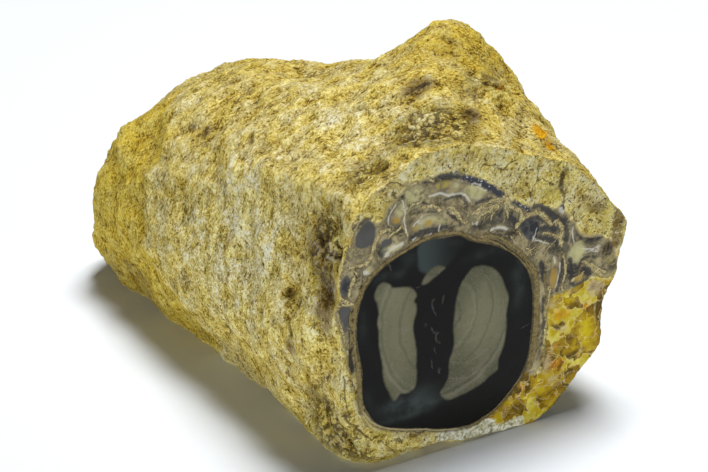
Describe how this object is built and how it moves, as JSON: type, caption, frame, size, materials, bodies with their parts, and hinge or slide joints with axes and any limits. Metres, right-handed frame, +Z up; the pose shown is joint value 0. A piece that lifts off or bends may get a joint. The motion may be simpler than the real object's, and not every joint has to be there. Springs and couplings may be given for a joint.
{
  "type": "petrified wood limb",
  "caption": "Broken length of petrified limb in a rough mineral crust, lying on its side, with its front end sawn flat and polished.",
  "frame": {"origin": "centre of the bounding box's underside, in the plane of the seat the stone rests on", "axes": "+Y back along the limb from the polished face, +Z up, +X to the right as seen from in front of the polished face"},
  "size_m": [0.0996, 0.1504, 0.0983],
  "materials": {
    "crust_stone": "rough, granular crust; the sawn end is polished"
  },
  "bodies": {
    "root": {"limb": "crust_stone"}
  },
  "joints": []
}
